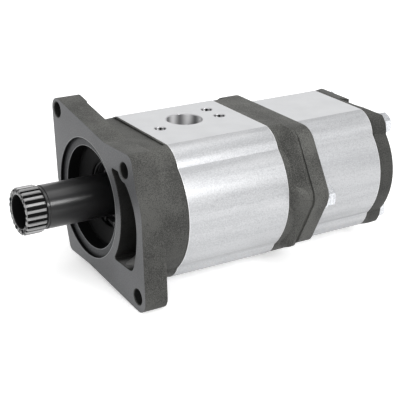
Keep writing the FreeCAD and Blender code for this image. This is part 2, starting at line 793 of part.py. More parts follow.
def notch_tool(side):
    # the recess in the raised part's edge, with a gentle rise towards the nearer end
    start = end_cover_start + end_cover_base
    points = [V(start, y, side * z) for y, z in end_notch]
    return Part.Face(Part.makePolygon(points + points[:1])).extrude(V(end_cover_length, 0, 0))


def slope_tool(side, drop, towards):
    start = end_cover_start + end_cover_base
    top = rear_section["top"]
    y = corner_slope_y
    points = [V(start, y, side * top), V(rear_face, y, side * (top - drop)),
              V(rear_face + 1, y, side * (top - drop)), V(rear_face + 1, y, side * (top + 1)),
              V(start, y, side * (top + 1))]
    reach = towards * 2 * rear_section["bulge"]
    return Part.Face(Part.makePolygon(points + points[:1])).extrude(V(0, reach, 0))


def make_end_cover():
    start = end_cover_start
    end = rear_face
    base_end = start + end_cover_base
    base = section_prism(start, base_end, rear_section)
    crown_start = end - crown_height
    raised = Part.makeLoft([section_wire(base_end, rear_section),
                            section_wire(crown_start, raised_section)], True, True)
    crown = Part.makeLoft([section_wire(crown_start, raised_section),
                           section_wire(end, raised_section, -crown_inset)], True, True)
    cover = fuse_all([base, raised, crown])
    cuts = [notch_tool(1), notch_tool(-1)]
    cuts.append(slope_tool(1, near_top_drop, -1))
    cuts.append(slope_tool(-1, near_bottom_drop, -1))
    cuts.append(slope_tool(1, far_drop, 1))
    cuts.append(slope_tool(-1, far_drop, 1))
    cuts += through_holes(start - 1, end + 1, rear_bolts, bolt_radius + bolt_clearance)
    cuts += dowel_holes(start, rear_dowels)
    cuts.append(ring_groove(start, 1))
    return cut_all(cover, cuts)


# Bearing blocks, bushes and the seals on the blocks
def block_span(body_start, body_length, width, rear):
    block = (body_length - width) / 2 - 2 * side_gap
    if rear:
        return body_start + body_length - side_gap - block, body_start + body_length - side_gap
    return body_start + side_gap, body_start + side_gap + block


def three_shape(start, end, shrink):
    # the seal's shape: two arcs that meet between the shafts, below the middle
    outer = figure_eight(start, end, block_seal_radius - shrink)
    inner = figure_eight(start - 1, end + 1, block_seal_radius - block_seal_width + shrink)
    reach = block_seal_radius + 1
    low = box(start - 1, end + 1, driven_y - reach, reach, -reach, block_seal_top - shrink)
    return outer.cut(inner).common(low)


def make_block(body_start, body_length, width, rear):
    start, end = block_span(body_start, body_length, width, rear)
    block = figure_eight(start, end, chamber_radius - press_gap)
    cuts = [cylinder_x(start - 1, end + 1, y, 0, bush_radius + press_gap) for y in (0, driven_y)]
    back = (end - block_seal_thickness, end + 1) if rear else (start - 1, start + block_seal_thickness)
    cuts.append(three_shape(back[0], back[1], 0.0))
    face = (start - 1, start + relief_depth) if rear else (end - relief_depth, end + 1)
    middle = driven_y / 2
    cuts.append(box(face[0], face[1], middle - relief_half_width, middle + relief_half_width, relief_low,
                    chamber_radius + 1))
    return cut_all(block, cuts).removeSplitter()


def make_block_seal(body_start, body_length, width, rear):
    start, end = block_span(body_start, body_length, width, rear)
    if rear:
        start = end - block_seal_thickness
    end = start + block_seal_thickness
    return three_shape(start + press_gap, end - press_gap, press_gap).removeSplitter()


def make_bush(body_start, body_length, width, rear, y):
    start, end = block_span(body_start, body_length, width, rear)
    outer = cylinder_x(start + bush_inset, end - bush_inset, y, 0, bush_radius)
    return outer.cut(cylinder_x(start, end, y, 0, bush_bore_radius))


# Fasteners
def hexagon_prism(start, end, y, z, across_flats):
    radius = across_flats / math.sqrt(3)
    corners = []
    for i in range(7):
        p = on_circle(y, z, radius, math.radians(60 * i + 30))
        corners.append(V(start, p[0], p[1]))
    return Part.Face(Part.makePolygon(corners)).extrude(V(end - start, 0, 0))


def bolt_shank(tip, seat, y, z):
    return lathe([(tip, 0), (tip, bolt_radius - bolt_chamfer), (tip + bolt_chamfer, bolt_radius),
                  (seat + 1, bolt_radius), (seat + 1, 0)], y, z)


def hex_bolt(tip, seat, y, z):
    end = seat + hex_head_height
    flat = hex_across_flats / 2
    head = hexagon_prism(seat, end, y, z, hex_across_flats)
    corner = hex_across_flats / math.sqrt(3)
    dome = lathe([(seat, 0), (seat, corner + 1), (end - head_dome_height, corner + 1), (end, flat),
                  (end, 0)], y, z)
    return fuse_all([head.common(dome), bolt_shank(tip, seat, y, z)])


def socket_screw(tip, seat, y, z):
    end = seat + socket_head_height
    edge = socket_head_radius - bolt_chamfer / 2
    head = lathe([(seat, 0), (seat, socket_head_radius), (end - bolt_chamfer / 2, socket_head_radius),
                  (end, edge), (end, 0)], y, z)
    screw = fuse_all([head, bolt_shank(tip, seat, y, z)])
    return screw.cut(hexagon_prism(end - socket_depth, end + 1, y, z, socket_across_flats))


def washer(seat, y, z, radius):
    ring = cylinder_x(seat, seat + washer_thickness, y, z, radius)
    hole = cylinder_x(seat - 1, seat + washer_thickness + 1, y, z, bolt_radius + washer_hole_gap)
    return ring.cut(hole)


def dowels(face, places):
    half = dowel_length / 2
    return Part.makeCompound([cylinder_x(face - half, face + half, y, z, dowel_radius) for y, z in places])


front = (front_body_start, front_body_length, front_gear_width)
rear = (rear_body_start, rear_body_length, rear_gear_width)
half_pitch = math.pi / tooth_count

parts = {}
parts["front_cover"] = make_front_cover()
parts["shaft_seal"] = make_shaft_seal()
parts["seal_circlip"] = make_seal_circlip()
parts["sleeve_bush"] = make_sleeve_bush()
parts["drive_sleeve"] = make_drive_sleeve()
parts["front_body"] = make_front_body()
parts["front_drive_gear"] = gear_shaft(*front, 0.0, 0.0, sleeve_tang_length, tang_length)
parts["front_driven_gear"] = gear_shaft(*front, driven_y, half_pitch, 0, 0)
parts["coupling"] = make_coupling()
parts["intermediate_cover"] = make_intermediate_cover()
parts["rear_flange"] = make_rear_flange()
parts["rear_body"] = make_rear_body()
parts["rear_drive_gear"] = gear_shaft(*rear, 0.0, 0.0, tang_length, 0)
parts["rear_driven_gear"] = gear_shaft(*rear, driven_y, half_pitch, 0, 0)
parts["end_cover"] = make_end_cover()
for pump, size in (("front_pump", front), ("rear_pump", rear)):
    for place, is_rear in (("front", False), ("rear", True)):
        parts[pump + "_" + place + "_block"] = make_block(*size, is_rear)
        parts[pump + "_" + place + "_block_seal"] = make_block_seal(*size, is_rear)
        parts[pump + "_" + place + "_drive_bush"] = make_bush(*size, is_rear, 0.0)
        parts[pump + "_" + place + "_driven_bush"] = make_bush(*size, is_rear, driven_y)
parts["front_body_seal_front"] = body_seal(cover_length, -1)
parts["front_body_seal_rear"] = body_seal(casting_start, 1)
parts["flange_seal"] = body_seal(flange_casting_start, 1)
parts["rear_body_seal_front"] = body_seal(rear_body_start, -1)
parts["rear_body_seal_rear"] = body_seal(end_cover_start, 1)
screw_seat = flange_casting_start - socket_head_height - socket_head_sink
screw_tip = cover_length - thread_depth
ear_tip = flange_casting_start - ear_thread_depth
ear_seat = rear_body_start + washer_thickness
rear_tip = rear_body_start - flange_thread_depth
rear_seat = rear_face + washer_thickness
screws = [socket_screw(screw_tip, screw_seat, y, z) for y, z in front_bolts]
parts["front_body_screws"] = Part.makeCompound(screws)
parts["ear_bolts"] = Part.makeCompound([hex_bolt(ear_tip, ear_seat, y, z) for y, z in ear_bolts])
washers = [washer(rear_body_start, y, z, ear_washer_radius) for y, z in ear_bolts]
parts["ear_washers"] = Part.makeCompound(washers)
parts["rear_bolts"] = Part.makeCompound([hex_bolt(rear_tip, rear_seat, y, z) for y, z in rear_bolts])
washers = [washer(rear_face, y, z, washer_radius) for y, z in rear_bolts]
parts["rear_washers"] = Part.makeCompound(washers)
parts["cover_dowels"] = dowels(cover_length, front_dowels)
parts["casting_dowels"] = dowels(casting_start, front_dowels)
parts["flange_dowels"] = dowels(rear_body_start, rear_dowels)
parts["end_cover_dowels"] = dowels(end_cover_start, rear_dowels)

for name, shape in parts.items():
    shape.exportStep("parts/" + name + ".step")
    kind = "ok" if shape.isValid() else "NOT VALID"
    print(name, kind, len(shape.Solids), round(shape.Volume))
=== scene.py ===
import json
import math

import bmesh
import bpy
from mathutils import Matrix, Vector


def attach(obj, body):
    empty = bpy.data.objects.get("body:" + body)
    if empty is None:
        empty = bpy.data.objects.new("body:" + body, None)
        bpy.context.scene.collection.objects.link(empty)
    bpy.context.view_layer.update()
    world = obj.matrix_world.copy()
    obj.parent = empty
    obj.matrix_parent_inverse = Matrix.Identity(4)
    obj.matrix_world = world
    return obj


# Tandem gear pump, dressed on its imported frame. Metres; the dictionaries hold mm where they say so.
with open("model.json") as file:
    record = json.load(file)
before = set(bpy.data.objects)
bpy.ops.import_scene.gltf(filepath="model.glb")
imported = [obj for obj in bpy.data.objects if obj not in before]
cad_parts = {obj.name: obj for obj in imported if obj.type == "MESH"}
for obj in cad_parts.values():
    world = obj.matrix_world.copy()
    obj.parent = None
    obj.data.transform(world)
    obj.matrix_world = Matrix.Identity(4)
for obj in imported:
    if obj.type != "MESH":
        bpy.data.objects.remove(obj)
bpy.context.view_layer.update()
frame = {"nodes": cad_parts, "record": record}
mm = 0.001
nodes = frame["nodes"]
print("frame loaded:", len(nodes), "nodes")


# Small helpers for node trees

bevelSamples = 4


def addNode(tree, kind, place=(0, 0), **values):
    made = tree.nodes.new(kind)
    made.location = place
    for key, value in values.items():
        setattr(made, key, value)
    return made


def feed(tree, socket, value):
    # a number or a colour is set on the socket, and another node's output is linked to it
    if isinstance(value, (int, float)):
        socket.default_value = value
    elif isinstance(value, tuple):
        socket.default_value = (*value, 1.0)
    else:
        tree.links.new(value, socket)


def mathNode(tree, operation, *values):
    made = addNode(tree, "ShaderNodeMath", operation=operation)
    for socket, value in zip(made.inputs, values):
        feed(tree, socket, value)
    return made.outputs[0]


def times(tree, a, b):
    return mathNode(tree, "MULTIPLY", a, b)


def weighted(tree, a, shareA, b, shareB):
    # two values added up, each times its share
    return mathNode(tree, "ADD", times(tree, a, shareA), times(tree, b, shareB))


def largest(tree, values):
    most = values[0]
    for value in values[1:]:
        most = mathNode(tree, "MAXIMUM", most, value)
    return most


def ramp(tree, value, low, high):
    # 0 at low and 1 at high, with a soft step between, also where high is the smaller
    made = addNode(tree, "ShaderNodeMapRange", interpolation_type="SMOOTHSTEP")
    feed(tree, made.inputs["Value"], value)
    feed(tree, made.inputs["From Min"], low)
    feed(tree, made.inputs["From Max"], high)
    return made.outputs["Result"]


def rampMm(tree, value, low, high):
    return ramp(tree, value, low * mm, high * mm)


def bandAt(tree, value, centre, half, soft):
    # 1 within half of the centre, fading out over soft, all in mm
    low, high, fade = (centre - half) * mm, (centre + half) * mm, soft * mm
    return times(tree, ramp(tree, value, low - fade, low), ramp(tree, value, high + fade, high))


def under(tree, value, limit):
    # 1 where the value is under a limit in mm
    return mathNode(tree, "LESS_THAN", value, limit * mm)


def distanceFrom(tree, a, b, centre):
    # how far two coordinates lie from a centre in mm
    da = mathNode(tree, "SUBTRACT", a, centre[0] * mm)
    db = mathNode(tree, "SUBTRACT", b, centre[1] * mm)
    return mathNode(tree, "SQRT", mathNode(tree, "ADD", times(tree, da, da), times(tree, db, db)))


def mixNode(tree, kind, sockets, values):
    made = addNode(tree, "ShaderNodeMix", data_type=kind)
    for index, value in zip(sockets, values):
        feed(tree, made.inputs[index], value)
    return made


def mixColour(tree, factor, a, b):
    return mixNode(tree, "RGBA", (0, 6, 7), (factor, a, b)).outputs[2]


def mixValue(tree, factor, a, b):
    return mixNode(tree, "FLOAT", (0, 2, 3), (factor, a, b)).outputs[0]


def axes(tree, vector):
    split = addNode(tree, "ShaderNodeSeparateXYZ")
    tree.links.new(vector, split.inputs[0])
    return split.outputs


def objectPoint(tree, stretch=(1, 1, 1)):
    place = addNode(tree, "ShaderNodeTexCoord")
    mapping = addNode(tree, "ShaderNodeMapping")
    mapping.inputs["Scale"].default_value = stretch
    tree.links.new(place.outputs["Object"], mapping.inputs["Vector"])
    return mapping.outputs["Vector"]


def surfaceNormal(tree):
    return addNode(tree, "ShaderNodeNewGeometry").outputs["Normal"]


def noise(tree, vector, scale, detail, roughness=0.5):
    made = addNode(tree, "ShaderNodeTexNoise")
    tree.links.new(vector, made.inputs["Vector"])
    feed(tree, made.inputs["Scale"], scale)
    feed(tree, made.inputs["Detail"], detail)
    feed(tree, made.inputs["Roughness"], roughness)
    return made.outputs["Fac"]


def stretchedNoise(tree, look):
    return noise(tree, objectPoint(tree, look["stretch"]), 1.0, look["detail"], look["roughness"])


# Shader groups used by more than one finish

castGrainLook = {
    "scales": {"Pit Scale": 1500.0, "Swell Scale": 260.0, "Patch Scale": 40.0}, "details": (2.0, 3.0, 4.0),
    "heightShares": (0.6, 0.8), "toneShares": (0.62, 0.38),   # pits and swell, pits and patches
}


def groupWith(name, inputs, outputs):
    group = bpy.data.node_groups.new(name, "ShaderNodeTree")
    for label, value in inputs.items():
        kind = "NodeSocketVector" if isinstance(value, tuple) else "NodeSocketFloat"
        socket = group.interface.new_socket(label, in_out="INPUT", socket_type=kind)
        socket.default_value = value
    for label in outputs:
        group.interface.new_socket(label, in_out="OUTPUT", socket_type="NodeSocketFloat")
    return group, group.nodes.new("NodeGroupInput"), group.nodes.new("NodeGroupOutput")


def makeCastGrain():
    # sand-cast skin: fine pits, coarser swell and slow patches of tone
    look = castGrainLook
    group, given, out = groupWith("castGrain", {"Vector": (0.0, 0.0, 0.0), **look["scales"]},
                                  ("Height", "Tone"))
    pits, swell, patches = (noise(group, given.outputs["Vector"], given.outputs[label], detail)
                            for label, detail in zip(look["scales"], look["details"]))
    pitShare, swellShare = look["heightShares"]
    group.links.new(weighted(group, pits, pitShare, swell, swellShare), out.inputs["Height"])
    pitShare, patchShare = look["toneShares"]
    group.links.new(weighted(group, pits, pitShare, patches, patchShare), out.inputs["Tone"])
    return group


def makeTurnedRings():
    # fine rings round the drive axis, left by a turning tool
    group, given, out = groupWith("turnedRings", {"Vector": (0.0, 0.0, 0.0), "Ring Pitch": 0.4 * mm},
                                  ("Height", "Radius"))
    at = axes(group, given.outputs["Vector"])
    radius = distanceFrom(group, at["Y"], at["Z"], (0.0, 0.0))
    along = mathNode(group, "ADD", radius, at["X"])
    turns = mathNode(group, "DIVIDE", along, given.outputs["Ring Pitch"])
    group.links.new(mathNode(group, "SINE", times(group, turns, 2 * math.pi)), out.inputs["Height"])
    group.links.new(radius, out.inputs["Radius"])
    return group


castGrain = makeCastGrain()
turnedRings = makeTurnedRings()


def placeGroup(tree, group, **values):
    made = addNode(tree, "ShaderNodeGroup", node_tree=group)
    for label, value in values.items():
        feed(tree, made.inputs[label.replace("_", " ")], value)
    return made.outputs


def newFinish(name, metallic=0.0, specular=0.5):
    material = bpy.data.materials.new(name)
    material.use_nodes = True
    tree = material.node_tree
    shader = tree.nodes["Principled BSDF"]
    shader.inputs["Metallic"].default_value = metallic
    shader.inputs["Specular IOR Level"].default_value = specular
    return material, tree, shader


def bump(tree, shader, height, depth, edge=0.0):
    # relief of a depth in mm, on edges softened by the radius edge in mm
    made = addNode(tree, "ShaderNodeBump")
    made.inputs["Distance"].default_value = depth * mm
    tree.links.new(height, made.inputs["Height"])
    if edge > 0:
        soft = addNode(tree, "ShaderNodeBevel", samples=bevelSamples)
        soft.inputs["Radius"].default_value = edge * mm
        tree.links.new(soft.outputs["Normal"], made.inputs["Normal"])
    tree.links.new(made.outputs["Normal"], shader.inputs["Normal"])


def paintedBoreBands(tree, at, holes, bands):
    # painted reflection: light and dark bands round the wall of a polished bore, with a mask of the holes
    # and the band tone in it
    here, share = [], []
    for x, y, radius in holes:
        across = mathNode(tree, "SUBTRACT", at["X"], x * mm)
        along = mathNode(tree, "SUBTRACT", at["Y"], y * mm)
        angle = mathNode(tree, "ARCTAN2", along, across)
        angle = mathNode(tree, "SUBTRACT", angle, math.radians(bands["turn"]))
        wave = mathNode(tree, "COSINE", times(tree, angle, bands["count"]))
        wave = mathNode(tree, "ADD", times(tree, wave, 0.5), 0.5)   # from 0 to 1
        here.append(under(tree, distanceFrom(tree, at["X"], at["Y"], (x, y)), radius))
        share.append(times(tree, here[-1], wave))
    return largest(tree, here), largest(tree, share)


# Cast iron; a pair of values is where a soft step starts and ends, or the least and the most

castLook = {
    "metallic": 0.25, "specular": 0.35, "roughness": (0.5, 0.74),
    "dark": (0.035, 0.035, 0.032), "light": (0.125, 0.125, 0.116), "toneSpread": (0.39, 0.61),
    "sideTone": 0.76, "topTone": 1.18, "faceUp": (0.3, 0.9),   # painted light on what faces up, painted shade on what faces sideways
    "partingHeight": 4.6, "partingWidth": 0.35,                # mm
    "partingRise": 1.2,
    "pitDepth": 0.14, "edge": 0.7, "machinedEdge": 0.35,       # mm
}

# The machined front of the cover, with its recess, casting pocket and holes, and the painted shade,
# painted light and painted highlights in them
frontLook = {
    "dark": (0.071, 0.073, 0.076), "light": (0.112, 0.114, 0.119), "toneSpread": (0.36, 0.64),
    "fine": {"scale": 900.0, "detail": 4.0, "share": 0.6},
    "slow": {"scale": 22.0, "detail": 2.0, "share": 0.4},
    "roughness": 0.4, "hollowSpecular": 0.03, "ringRise": 0.05,
    "ringPitch": 0.55, "faceDepth": 0.06, "recessRadius": 46.8, "hollowFrom": (0.1, 1.2),   # mm
    "shadow": (0.004, 0.004, 0.004), "pocketTone": 0.26, "holeTone": 0.12, "floorTone": 0.05,
    "pocket": (-34.0, -2.5), "pocketRadius": 48.0, "ringWall": 53.3,                        # mm
    "holes": ((48.5, 56.7), (-78.5, -49.7), (-59.3, 40.8)), "holeReach": 6.8,               # mm
    "bosses": ((-56.0, 37.0), (-56.0, -37.0)), "bossReach": (10.0, 5.0),                    # mm
    "bossPaintedLight": (0.34, 0.34, 0.335), "bossPaintedLightShare": 0.45,
    "stepTone": 0.85, "grooveShare": 0.35, "wallTone": 0.02,
    "stepFrom": (40.2, 40.6), "stepGroove": (43.6, 46.2), "stepFace": (2.8, 2.6),           # mm
    "rims": ((46.6, 0.0), (40.0, 3.0)), "rimWidth": 0.4, "rimSoft": 0.1,                    # mm
    "rimPaintedHighlight": (0.24, 0.245, 0.25),
}


def stepRingShade(tree, at, radius):
    # painted shade on the ring in the recess: its face a little darker, darker still towards its groove,
    # and its wall in front of it dark
    look = frontLook
    groove = rampMm(tree, radius, *look["stepGroove"])
    face = mixValue(tree, groove, look["stepTone"], look["stepTone"] * look["grooveShare"])
    return mixValue(tree, rampMm(tree, at["X"], *look["stepFace"]), face, look["wallTone"])


def hollowShade(tree, at, radius, inside, deep):
    # painted shade in the pocket, the holes and the recess, and a mask of the bosses in the pocket for
    # their painted light
    look = frontLook
    pocket = under(tree, distanceFrom(tree, at["Y"], at["Z"], look["pocket"]), look["pocketRadius"])
    pocket = times(tree, pocket, mathNode(tree, "GREATER_THAN", radius, look["ringWall"] * mm))
    pocket = times(tree, pocket, deep)
    shade = mixValue(tree, pocket, 1.0, look["pocketTone"])
    near = [rampMm(tree, distanceFrom(tree, at["Y"], at["Z"], centre), *look["bossReach"])
            for centre in look["bosses"]]
    bosses = times(tree, largest(tree, near), pocket)
    for centre in look["holes"]:
        hole = under(tree, distanceFrom(tree, at["Y"], at["Z"], centre), look["holeReach"])
        hole = times(tree, hole, deep)
        shade = mixValue(tree, hole, shade, look["holeTone"])
        bosses = mixValue(tree, hole, bosses, 0.0)
    onStep = rampMm(tree, radius, *look["stepFrom"])
    recess = mixValue(tree, onStep, look["floorTone"], stepRingShade(tree, at, radius))
    return mixValue(tree, inside, shade, recess), bosses


def machinedFront(tree, shader, point, at, rings, skin):
    # turned and milled faces on the cover, with painted shade, painted light and painted highlights on
    # them, and a mask of the faces
    look = frontLook
    face = rampMm(tree, at["X"], 2 * look["faceDepth"], look["faceDepth"])
    inside = under(tree, rings["Radius"], look["recessRadius"])
    machined = mathNode(tree, "MAXIMUM", face, inside)
    fine, slow = (noise(tree, point, look[key]["scale"], look[key]["detail"]) for key in ("fine", "slow"))
    tone = weighted(tree, fine, look["fine"]["share"], slow, look["slow"]["share"])
    plain = mixColour(tree, ramp(tree, tone, *look["toneSpread"]), look["dark"], look["light"])
    skin = mixColour(tree, machined, skin, plain)
    deep = rampMm(tree, at["X"], *look["hollowFrom"])
    hollow = times(tree, inside, deep)
    shade, bosses = hollowShade(tree, at, rings["Radius"], hollow, deep)
    specular = mixValue(tree, hollow, castLook["specular"], look["hollowSpecular"])
    tree.links.new(specular, shader.inputs["Specular IOR Level"])
    # painted shade in the recess, the pocket and the holes
    skin = mixColour(tree, shade, look["shadow"], skin)
    # painted light on the two bosses in the pocket
    skin = mixColour(tree, times(tree, bosses, look["bossPaintedLightShare"]), skin, look["bossPaintedLight"])
    # painted highlights along the two rims of the recess
    for radius, x in look["rims"]:
        onRing = bandAt(tree, rings["Radius"], radius, look["rimWidth"], look["rimSoft"])
        level = bandAt(tree, at["X"], x, look["rimWidth"], look["rimSoft"])
        skin = mixColour(tree, times(tree, onRing, level), skin, look["rimPaintedHighlight"])
    return skin, machined


def castFinish(name, level, withFront):
    # sand-cast skin, as light as the level says, with painted light on what faces up and painted shade on
    # the sides, and the machined front where the piece has it
    look = castLook
    material, tree, shader = newFinish(name, look["metallic"], look["specular"])
    point = objectPoint(tree)
    at = axes(tree, point)
    grain = placeGroup(tree, castGrain, Vector=point)
    skin = mixColour(tree, ramp(tree, grain["Tone"], *look["toneSpread"]), look["dark"], look["light"])
    # painted light and shade: faces turned up lighter, faces turned sideways darker
    paintedTopLight = ramp(tree, axes(tree, surfaceNormal(tree))["Z"], *look["faceUp"])
    tone = mixValue(tree, paintedTopLight, level * look["sideTone"], level * look["topTone"])
    skin = mixColour(tree, tone, (0.0, 0.0, 0.0), skin)
    roughness = mixValue(tree, grain["Tone"], *look["roughness"])
    height = grain["Height"]
    edge = look["edge"]
    if withFront:
        rings = placeGroup(tree, turnedRings, Vector=point, Ring_Pitch=frontLook["ringPitch"] * mm)
        skin, machined = machinedFront(tree, shader, point, at, rings, skin)
        height = mixValue(tree, machined, height, times(tree, rings["Height"], frontLook["ringRise"]))
        roughness = mixValue(tree, machined, roughness, frontLook["roughness"])
        edge = look["machinedEdge"]
    else:
        parting = bandAt(tree, at["Z"], look["partingHeight"], look["partingWidth"], look["partingWidth"])
        height = mathNode(tree, "ADD", height, times(tree, parting, look["partingRise"]))
    tree.links.new(skin, shader.inputs["Base Color"])
    tree.links.new(roughness, shader.inputs["Roughness"])
    bump(tree, shader, height, look["pitDepth"], edge)
    return material


# Drawn aluminium with streaks along the extrusion

aluminiumLook = {
    "dark": (0.355, 0.36, 0.37), "light": (0.48, 0.485, 0.495), "toneSpread": (0.36, 0.64),
    "cloud": (0.60, 0.60, 0.605), "cloudSpread": (0.5, 0.72), "cloudShare": 0.3,
    "speck": (0.28, 0.28, 0.29), "speckSpread": (0.66, 0.74), "speckShare": 0.6,
    "specks": {"scale": 900.0, "detail": 1.0}, "flat": {"scale": 60.0, "detail": 5.0},
    "matt": (0.30, 0.30, 0.31), "flatDark": (0.51, 0.515, 0.525), "flatLight": (0.61, 0.615, 0.625),
    "paintedEndHighlight": (0.80, 0.80, 0.805), "paintedEndHighlightShare": 0.8,
    "streaks": {"stretch": (4, 90, 90), "detail": 5.0, "roughness": 0.62},
    "clouds": {"stretch": (12, 60, 60), "detail": 4.0, "roughness": 0.6},
    "grain": {"stretch": (900, 1300, 1300), "detail": 2.0, "roughness": 0.5},
    "cutter": {"stretch": (700, 160, 400), "detail": 2.0, "roughness": 0.5},
    "metallic": 0.88, "roughness": (0.32, 0.5), "flatRoughness": 0.42,
    "boreMetallic": 0.3, "boreRoughness": 0.3,
    "streakShare": 0.6, "grainShare": 0.3, "cutterShare": 0.25, "boreRelief": 0.5,
    "streakDepth": 0.05, "edge": 0.35, "milled": (0.12, 0.06),              # mm
    "paintedEndHighlightWidth": (0.5, 0.2), "notchWidth": (1.7, 0.2),                      # mm
}

# The bores in the bodies' tops, with the depths at which their walls and their painted reflection bands
# start
boreLook = {
    "ports": ((79.9, -9.1, 17.0),), "portFrom": 0.05, "rimDepth": 0.7,                          # mm
    "holes": ((52.3, -20.0, 5.4), (108.1, 3.7, 5.4), (108.4, -14.5, 5.4)), "holeFrom": 0.02,    # mm
    "portBands": {"count": 7, "turn": 47.0}, "holeBands": {"count": 6, "turn": 28.0},   # turn in degrees
    "portDark": (0.20, 0.20, 0.205), "portLight": (0.80, 0.80, 0.81),
    "holeDark": (0.02, 0.02, 0.02), "holeLight": (0.70, 0.70, 0.71), "rimTone": (0.42, 0.42, 0.43),
}

# Each body's top and ends in mm, how matt it is, and its notch lines: Y and Z in mm, and a share of
# painted shade
bodies = {
    "frontAluminium": {"top": 52.6, "ends": (38.0, 125.3), "matt": 0.0,
                       "notches": ((-73.3, 35.3, 0.1), (-73.3, -35.3, 0.45))},
    "rearAluminium": {"top": 50.2, "ends": (153.5, 220.5), "matt": 0.08,
                      "notches": ((-66.9, 32.4, 0.1), (-66.9, -32.4, 0.45))},
}


def drawnSides(tree, point, at, tone, body):
    # streaks, pale clouds and specks along the drawn sides, and painted shade in the notch lines
    look = aluminiumLook
    colour = mixColour(tree, ramp(tree, tone, *look["toneSpread"]), look["dark"], look["light"])
    clouds = ramp(tree, stretchedNoise(tree, look["clouds"]), *look["cloudSpread"])
    colour = mixColour(tree, times(tree, clouds, look["cloudShare"]), colour, look["cloud"])
    specks = noise(tree, point, look["specks"]["scale"], look["specks"]["detail"])
    specks = ramp(tree, specks, *look["speckSpread"])
    colour = mixColour(tree, times(tree, specks, look["speckShare"]), colour, look["speck"])
    colour = mixColour(tree, body["matt"], colour, look["matt"])
    # painted shade in the notch creases, in the matt colour, darker in the lower notch
    for y, z, share in body["notches"]:
        near = rampMm(tree, distanceFrom(tree, at["Y"], at["Z"], (y, z)), *look["notchWidth"])
        colour = mixColour(tree, times(tree, near, share), colour, look["matt"])
    return colour


def paintedEndHighlightMask(tree, at, body):
    # a mask of the painted highlights along the edges at both ends
    first, last = (mathNode(tree, "ABSOLUTE", mathNode(tree, "SUBTRACT", at["X"], x * mm))
                   for x in body["ends"])
    return rampMm(tree, mathNode(tree, "MINIMUM", first, last), *aluminiumLook["paintedEndHighlightWidth"])


def boreWalls(tree, at, body, colour):
    # painted reflection bands on the walls of the port and the tapped holes, and a mask of the port
    look = boreLook
    belowRim = under(tree, at["Z"], body["top"] - look["rimDepth"])
    masks = {}
    for kind in ("port", "hole"):
        mask, tone = paintedBoreBands(tree, at, look[kind + "s"], look[kind + "Bands"])
        masks[kind] = times(tree, mask, under(tree, at["Z"], body["top"] - look[kind + "From"]))
        wall = mixColour(tree, tone, look[kind + "Dark"], look[kind + "Light"])
        wall = mixColour(tree, belowRim, look["rimTone"], wall)
        colour = mixColour(tree, masks[kind], colour, wall)
    return colour, masks["port"]


def aluminiumFinish(name, body):
    # drawn sides, a milled top and bottom, painted highlights along both ends, and polished bores with
    # painted reflection bands
    look = aluminiumLook
    material, tree, shader = newFinish(name, look["metallic"])
    point = objectPoint(tree)
    at = axes(tree, point)
    streaks, grain, cutter = (stretchedNoise(tree, look[key]) for key in ("streaks", "grain", "cutter"))
    tone = weighted(tree, streaks, 0.5, grain, 0.5)
    height = mathNode(tree, "ABSOLUTE", at["Z"])
    milled = rampMm(tree, height, *(body["top"] - below for below in look["milled"]))
    flat = noise(tree, point, look["flat"]["scale"], look["flat"]["detail"])
    flat = mixColour(tree, flat, look["flatDark"], look["flatLight"])
    colour = mixColour(tree, milled, drawnSides(tree, point, at, tone, body), flat)
    # painted highlight along both ends
    edge = times(tree, paintedEndHighlightMask(tree, at, body), look["paintedEndHighlightShare"])
    colour = mixColour(tree, edge, colour, look["paintedEndHighlight"])
    colour, port = boreWalls(tree, at, body, colour)
    tree.links.new(colour, shader.inputs["Base Color"])
    smooth, rough = (value + body["matt"] for value in look["roughness"])
    roughness = mixValue(tree, milled, mixValue(tree, tone, smooth, rough), look["flatRoughness"])
    tree.links.new(mixValue(tree, port, roughness, look["boreRoughness"]), shader.inputs["Roughness"])
    tree.links.new(mixValue(tree, port, look["metallic"], look["boreMetallic"]), shader.inputs["Metallic"])
    drawn = weighted(tree, streaks, look["streakShare"], grain, look["grainShare"])
    relief = mixValue(tree, milled, drawn, times(tree, cutter, look["cutterShare"]))
    bump(tree, shader, mixValue(tree, port, relief, look["boreRelief"]), look["streakDepth"], look["edge"])
    return material


# The black drive sleeve with its bright spline

sleeveLook = {
    "black": (0.004, 0.004, 0.0045), "crest": (0.30, 0.30, 0.30), "root": (0.006, 0.006, 0.006),
    "splineEnd": (-38.8, -39.4), "rootRadius": (16.9, 17.4), "frontFace": (-55.7, -55.9),   # mm
    "ground": {"stretch": (200, 1200, 1200), "detail": 3.0, "roughness": 0.5},
    "roughness": (0.26, 0.34), "splineRoughness": 0.5, "specular": 0.65, "rootSpecular": 0.04,
    "crestMetallic": 0.5, "anisotropy": 0.75, "turn": 0.25,
    "ringPitch": 0.3, "ringDepth": 0.0004, "edge": 0.12,                                    # mm
}


